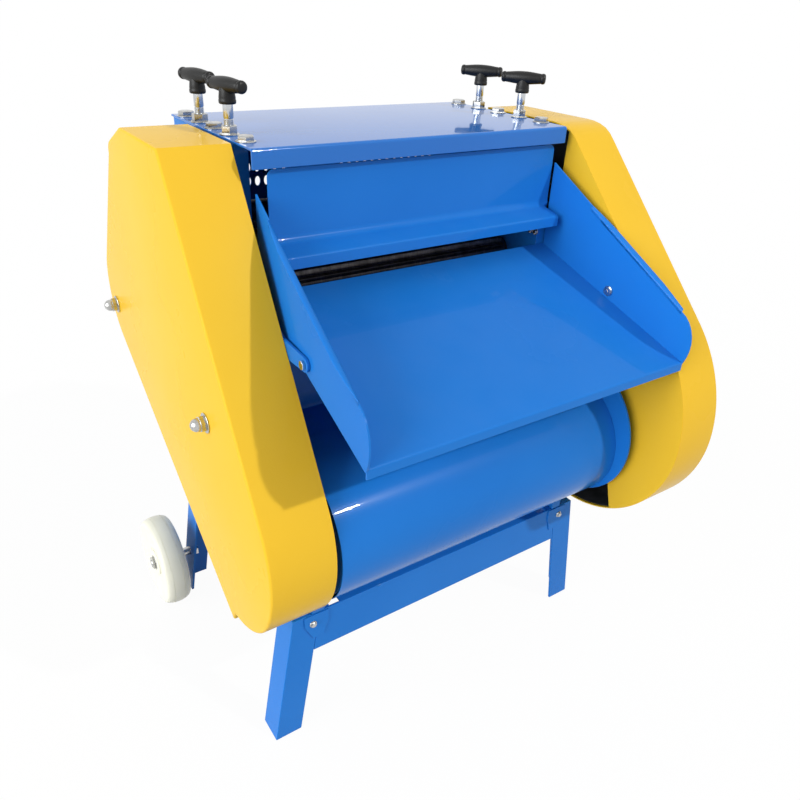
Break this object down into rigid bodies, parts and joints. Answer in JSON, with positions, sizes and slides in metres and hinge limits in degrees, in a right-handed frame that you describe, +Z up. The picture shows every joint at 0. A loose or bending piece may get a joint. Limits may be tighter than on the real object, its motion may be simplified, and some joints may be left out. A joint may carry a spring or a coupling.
{
  "type": "cable stripping machine",
  "caption": "Floor-standing cable stripping machine: sloping feed tray, powered roller pairs pressed by T-handled screws, side guards over the drive, angle legs and rear wheels.",
  "frame": {"origin": "on the floor under the middle of the machine's box", "axes": "+X to the operator's right along the rollers, -Y the feed side, +Z up"},
  "size_m": [0.775, 0.7032, 0.9565],
  "materials": {
    "blue_paint": "gloss",
    "yellow_paint": "gloss",
    "grey_paint": "satin",
    "steel": "bright",
    "dark_steel": "machined",
    "black_plastic": "fine grain",
    "black_rubber": "matt",
    "white_nylon": "satin"
  },
  "bodies": {
    "root": {"left_side_plate": "blue_paint", "right_side_plate": "blue_paint", "top_plate": "blue_paint", "rear_panel": "blue_paint", "front_cover": "blue_paint", "tray": "blue_paint", "flap_hinge_rod": "steel", "tray_bolt_left": "steel", "tray_bolt_right": "steel", "top_bolt_left_1": "steel", "top_bolt_left_2": "steel", "top_bolt_left_3": "steel", "top_bolt_right_1": "steel", "top_bolt_right_2": "steel", "top_bolt_right_3": "steel", "left_guard": "yellow_paint", "right_guard": "yellow_paint", "left_guard_nut_front": "steel", "left_guard_nut_back": "steel", "right_guard_nut_front": "steel", "right_guard_nut_back": "steel", "motor": "grey_paint", "motor_mount": "dark_steel", "drive_belt": "black_rubber", "drive_chain": "dark_steel", "front_beam": "blue_paint", "rear_beam": "blue_paint", "side_rail_left": "blue_paint", "side_rail_right": "blue_paint", "front_leg_left": "blue_paint", "front_leg_right": "blue_paint", "rear_leg_left": "blue_paint", "rear_leg_right": "blue_paint", "axle_left": "steel", "axle_right": "steel", "cable_gland": "black_plastic"},
    "flap": {"front_flap": "blue_paint"},
    "motor_rotor": {"motor_shaft": "steel", "motor_pulley": "dark_steel"},
    "feed_drive": {"lower_feed_roller": "dark_steel", "driven_pulley": "dark_steel", "front_sprocket": "dark_steel"},
    "strip_drive": {"lower_strip_roller": "dark_steel", "rear_sprocket": "dark_steel"},
    "front_press": {"front_block_left": "dark_steel", "front_block_right": "dark_steel"},
    "rear_press": {"rear_block_left": "dark_steel", "rear_block_right": "dark_steel"},
    "feed_pressure": {"upper_feed_roller": "dark_steel"},
    "strip_pressure": {"upper_strip_roller": "dark_steel"},
    "front_tee_left": {"front_screw_left": "steel", "front_handle_left": "black_plastic"},
    "front_tee_right": {"front_screw_right": "steel", "front_handle_right": "black_plastic"},
    "rear_tee_left": {"rear_screw_left": "steel", "rear_handle_left": "black_plastic"},
    "rear_tee_right": {"rear_screw_right": "steel", "rear_handle_right": "black_plastic"},
    "left_wheel": {"wheel_left": "white_nylon"},
    "right_wheel": {"wheel_right": "white_nylon"}
  },
  "joints": [
    {"name": "flap_hinge", "type": "hinge", "parent": "root", "child": "flap", "pos_m": [0, -0.022, 0.8555], "axis": [-1, 0, 0], "range_deg": [0, 80]},
    {"name": "feed_drive_turn", "type": "hinge", "parent": "root", "child": "feed_drive", "pos_m": [0, 0.058, 0.672], "axis": [1, 0, 0], "continuous": true},
    {"name": "motor_turn", "type": "hinge", "parent": "root", "child": "motor_rotor", "pos_m": [0, -0.147, 0.406], "axis": [1, 0, 0], "continuous": true},
    {"name": "strip_drive_turn", "type": "hinge", "parent": "root", "child": "strip_drive", "pos_m": [0, 0.1615, 0.672], "axis": [1, 0, 0], "continuous": true},
    {"name": "front_press_slide", "type": "slide", "parent": "root", "child": "front_press", "axis": [0, 0, 1], "range_m": [-0.004, 0.006]},
    {"name": "rear_press_slide", "type": "slide", "parent": "root", "child": "rear_press", "axis": [0, 0, 1], "range_m": [-0.004, 0.006]},
    {"name": "feed_pressure_turn", "type": "hinge", "parent": "front_press", "child": "feed_pressure", "pos_m": [0, 0.058, 0.742], "axis": [1, 0, 0], "continuous": true},
    {"name": "strip_pressure_turn", "type": "hinge", "parent": "rear_press", "child": "strip_pressure", "pos_m": [0, 0.1615, 0.742], "axis": [1, 0, 0], "continuous": true},
    {"name": "front_tee_left_turn", "type": "hinge", "parent": "front_press", "child": "front_tee_left", "pos_m": [-0.247, 0.058, 0.888], "axis": [0, 0, 1], "range_deg": [-730, 1090]},
    {"name": "front_tee_right_turn", "type": "hinge", "parent": "front_press", "child": "front_tee_right", "pos_m": [0.247, 0.058, 0.888], "axis": [0, 0, 1], "range_deg": [-730, 1090]},
    {"name": "rear_tee_left_turn", "type": "hinge", "parent": "rear_press", "child": "rear_tee_left", "pos_m": [-0.247, 0.1615, 0.888], "axis": [0, 0, 1], "range_deg": [-730, 1090]},
    {"name": "rear_tee_right_turn", "type": "hinge", "parent": "rear_press", "child": "rear_tee_right", "pos_m": [0.247, 0.1615, 0.888], "axis": [0, 0, 1], "range_deg": [-730, 1090]},
    {"name": "left_wheel_turn", "type": "hinge", "parent": "root", "child": "left_wheel", "pos_m": [-0.36, 0.25, 0.085], "axis": [1, 0, 0], "continuous": true},
    {"name": "right_wheel_turn", "type": "hinge", "parent": "root", "child": "right_wheel", "pos_m": [0.36, 0.25, 0.085], "axis": [1, 0, 0], "continuous": true}
  ],
  "couplings": [
    {"joint": "motor_turn", "follows": "feed_drive_turn", "ratio": 3.6944},
    {"joint": "strip_drive_turn", "follows": "feed_drive_turn", "ratio": 1},
    {"joint": "front_tee_left_turn", "follows": "front_press_slide", "rad_per_m": 3141.6},
    {"joint": "front_tee_right_turn", "follows": "front_press_slide", "rad_per_m": 3141.6},
    {"joint": "rear_tee_left_turn", "follows": "rear_press_slide", "rad_per_m": 3141.6},
    {"joint": "rear_tee_right_turn", "follows": "rear_press_slide", "rad_per_m": 3141.6}
  ]
}
